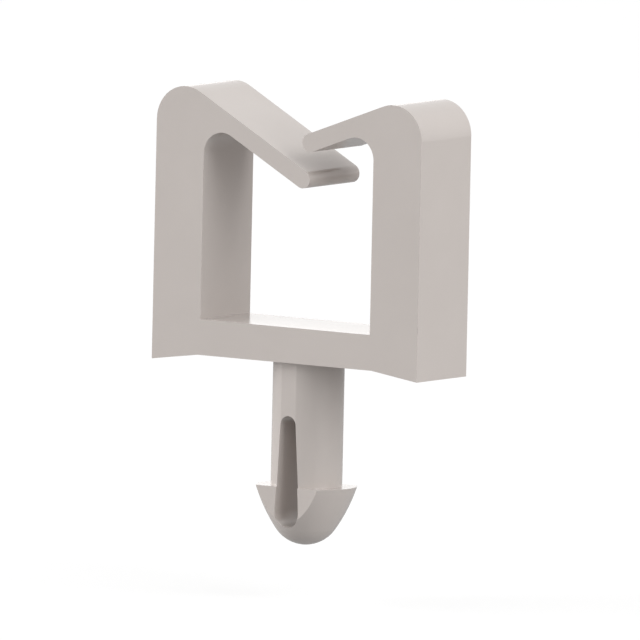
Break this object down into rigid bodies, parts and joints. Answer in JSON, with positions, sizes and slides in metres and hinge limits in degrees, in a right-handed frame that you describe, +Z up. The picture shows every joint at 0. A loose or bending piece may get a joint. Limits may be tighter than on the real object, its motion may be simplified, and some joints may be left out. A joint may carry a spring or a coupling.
{
  "type": "push-in wire saddle clip",
  "caption": "Moulded wire saddle: a square loop closed by overlapping spring arms, on a slotted push-in stem with a barbed arrowhead.",
  "frame": {"origin": "on the stem's axis, at the flat underside of the loop's base", "axes": "+Z up, from the stem to the spring arms; +Y along the wires through the loop; +X across the loop"},
  "size_m": [0.0176, 0.0048, 0.0247],
  "materials": {
    "natural_nylon": "as moulded, fine satin"
  },
  "bodies": {
    "root": {"saddle_clip": "natural_nylon"}
  },
  "joints": []
}
